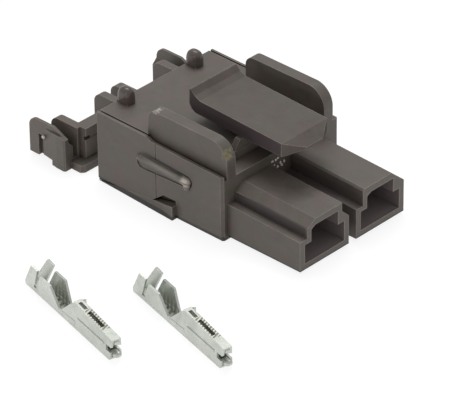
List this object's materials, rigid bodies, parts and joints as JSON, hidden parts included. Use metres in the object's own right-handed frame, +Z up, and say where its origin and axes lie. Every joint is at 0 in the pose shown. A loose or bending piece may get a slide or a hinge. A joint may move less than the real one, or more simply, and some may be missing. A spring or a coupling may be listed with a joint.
{
  "type": "wire-end power connector",
  "caption": "Rectangular crimp power connector with keyed socket tubes, a rocker latch between guards, an open hinged rear retainer and loose crimp contacts lying beside it.",
  "frame": {"origin": "centre of the underside of the main body, without the sockets, the retainer and the loose contacts", "axes": "-Y is the mating direction, +Z is up towards the latch, +X is to the right seen from the wire side looking along the mating direction"},
  "size_m": [0.0373, 0.0384, 0.0108],
  "materials": {
    "housing_plastic": "satin moulded nylon",
    "latch_plastic": "satin moulded nylon",
    "retainer_plastic": "satin moulded nylon",
    "contact_tin_1": "bright tin plate",
    "contact_tin_2": "bright tin plate"
  },
  "bodies": {
    "body": {"housing": "housing_plastic", "contact_1": "contact_tin_1", "contact_2": "contact_tin_2"},
    "latch": {"latch_lever": "latch_plastic"},
    "retainer": {"rear_retainer": "retainer_plastic"}
  },
  "joints": [
    {"name": "latch_rock", "type": "hinge", "parent": "body", "child": "latch", "pos_m": [0, -0.0058, 0.00831], "axis": [-1, 0, 0], "range_deg": [0, 8], "stiffness_Nm_per_rad": 0.05},
    {"name": "retainer_fold", "type": "hinge", "parent": "body", "child": "retainer", "pos_m": [0, 0.00895, 0.00015], "axis": [1, 0, 0], "range_deg": [0, 90]}
  ]
}
